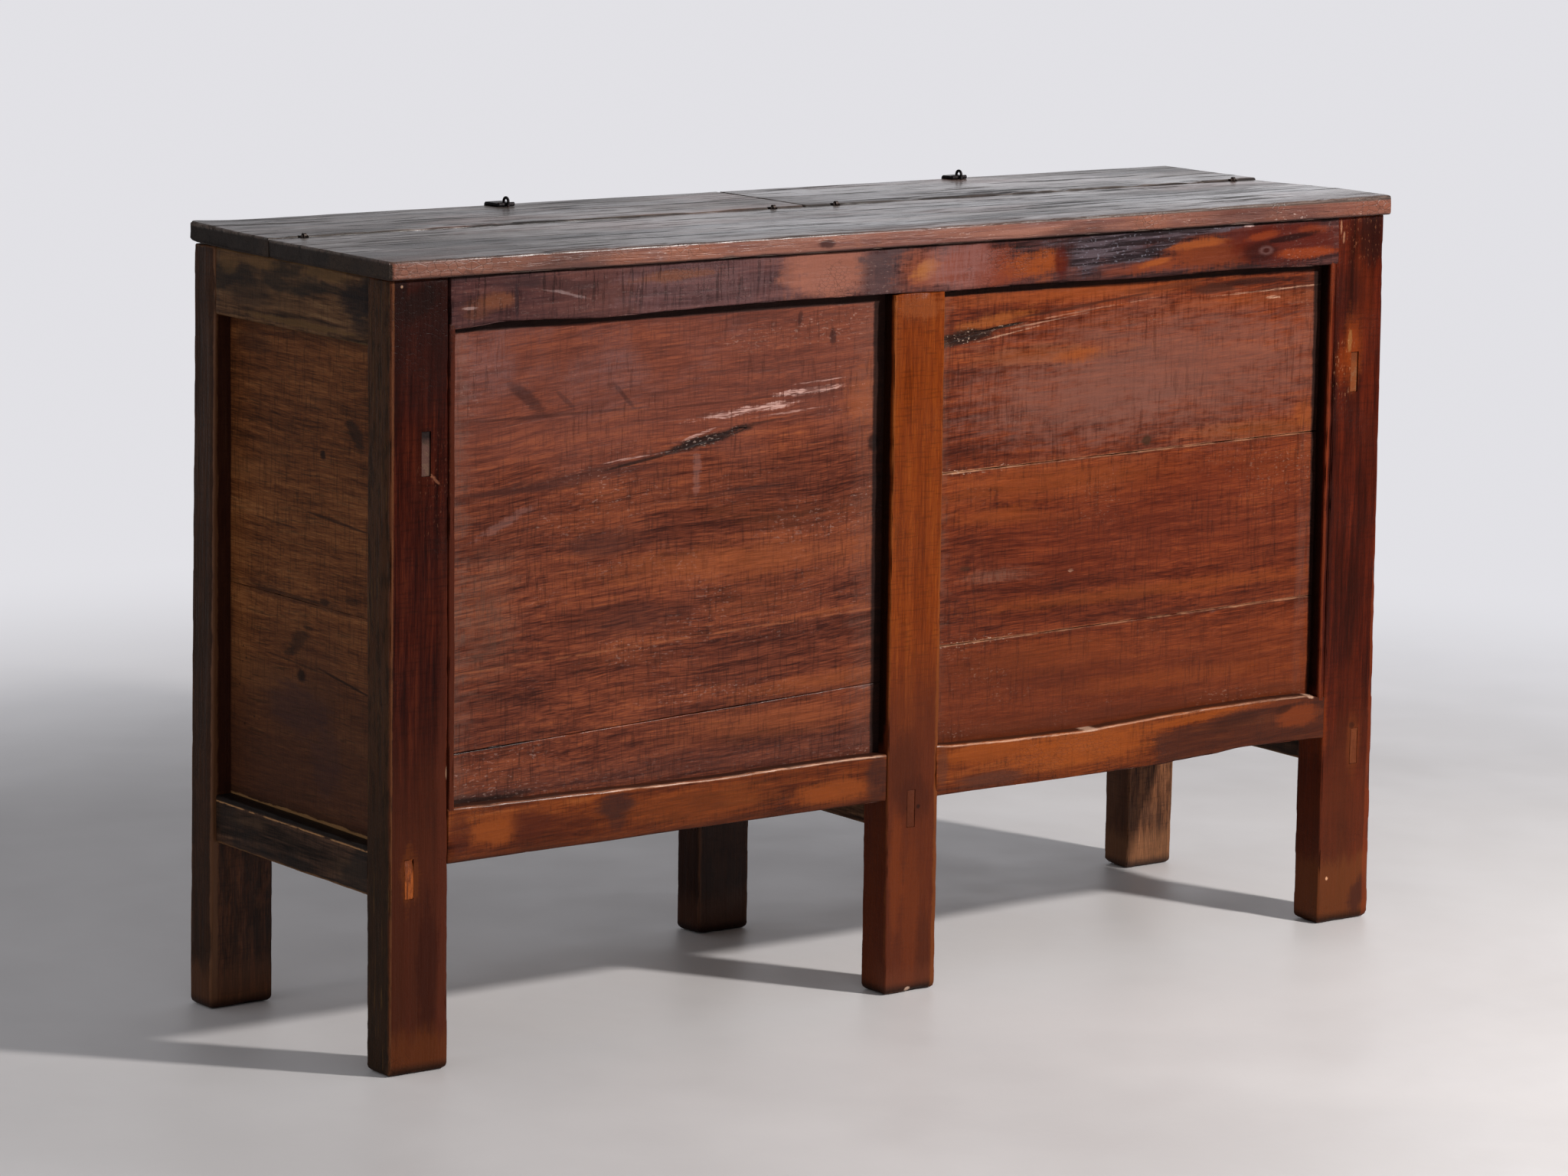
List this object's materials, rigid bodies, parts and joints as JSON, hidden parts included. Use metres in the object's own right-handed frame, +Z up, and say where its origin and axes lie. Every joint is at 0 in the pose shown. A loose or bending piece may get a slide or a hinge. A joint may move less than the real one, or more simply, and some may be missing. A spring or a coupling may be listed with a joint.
{
  "type": "lacquered sideboard",
  "caption": "Long lacquered storage chest on legs, used as a sideboard, with framed panels, a fixed front plank and lifting lids behind it held by hasps.",
  "frame": {"origin": "centre of the bounding box's bottom face, on the floor", "axes": "+X along the length, -Y towards the pictured long side with the fixed plank, +Z up"},
  "size_m": [1.48, 0.447, 0.9325],
  "materials": {
    "dark_red_lacquer": "worn satin lacquer",
    "orange_brown_lacquer": "worn satin lacquer",
    "red_brown_lacquer": "crackled satin lacquer",
    "panel_red_lacquer": "worn satin lacquer with a milky haze",
    "olive_brown_lacquer": "matte worn lacquer",
    "dark_olive_lacquer": "matte dark lacquer",
    "weathered_top_lacquer": "semi-gloss weathered lacquer",
    "bare_wood": "aged bare wood",
    "black_iron": "black forged iron"
  },
  "bodies": {
    "chest": {"front_left_post": "dark_red_lacquer", "front_middle_post": "orange_brown_lacquer", "rear_middle_post": "orange_brown_lacquer", "front_left_bottom_rail": "orange_brown_lacquer", "front_right_bottom_rail": "orange_brown_lacquer", "rear_left_bottom_rail": "orange_brown_lacquer", "rear_right_bottom_rail": "orange_brown_lacquer", "front_right_post": "red_brown_lacquer", "front_top_rail": "red_brown_lacquer", "rear_top_rail": "red_brown_lacquer", "front_left_panel": "panel_red_lacquer", "front_right_panel": "panel_red_lacquer", "rear_left_panel": "panel_red_lacquer", "rear_right_panel": "panel_red_lacquer", "rear_left_post": "olive_brown_lacquer", "rear_right_post": "olive_brown_lacquer", "left_side_panel": "olive_brown_lacquer", "right_side_panel": "olive_brown_lacquer", "left_top_rail": "olive_brown_lacquer", "right_top_rail": "olive_brown_lacquer", "left_bottom_rail": "dark_olive_lacquer", "right_bottom_rail": "dark_olive_lacquer", "fixed_top_plank": "weathered_top_lacquer", "middle_top_rail": "bare_wood", "middle_bottom_rail": "bare_wood", "left_side_batten": "bare_wood", "right_side_batten": "bare_wood", "partition": "bare_wood", "left_floor_boards": "bare_wood", "right_floor_boards": "bare_wood", "plank_dowels": "bare_wood", "left_hinge_staples": "black_iron", "right_hinge_staples": "black_iron", "left_lock_staple": "black_iron", "right_lock_staple": "black_iron"},
    "left_lid": {"left_lid": "weathered_top_lacquer", "left_lid_battens": "bare_wood", "left_hinge_eyes": "black_iron", "left_hasp_staple": "black_iron"},
    "right_lid": {"right_lid": "weathered_top_lacquer", "right_lid_battens": "bare_wood", "right_hinge_eyes": "black_iron", "right_hasp_staple": "black_iron"},
    "left_strap": {"left_hasp": "black_iron"},
    "right_strap": {"right_hasp": "black_iron"}
  },
  "joints": [
    {"name": "left_lid_hinge", "type": "hinge", "parent": "chest", "child": "left_lid", "pos_m": [-0.3645, 0.0305, 0.92], "axis": [1, 0, 0], "range_deg": [0, 105]},
    {"name": "right_lid_hinge", "type": "hinge", "parent": "chest", "child": "right_lid", "pos_m": [0.3765, 0.0305, 0.92], "axis": [1, 0, 0], "range_deg": [0, 105]},
    {"name": "left_hasp_pivot", "type": "hinge", "parent": "left_lid", "child": "left_strap", "pos_m": [-0.3175, 0.1835, 0.92275], "axis": [1, 0, 0], "range_deg": [0, 170]},
    {"name": "right_hasp_pivot", "type": "hinge", "parent": "right_lid", "child": "right_strap", "pos_m": [0.3765, 0.1925, 0.92275], "axis": [1, 0, 0], "range_deg": [0, 170]}
  ]
}
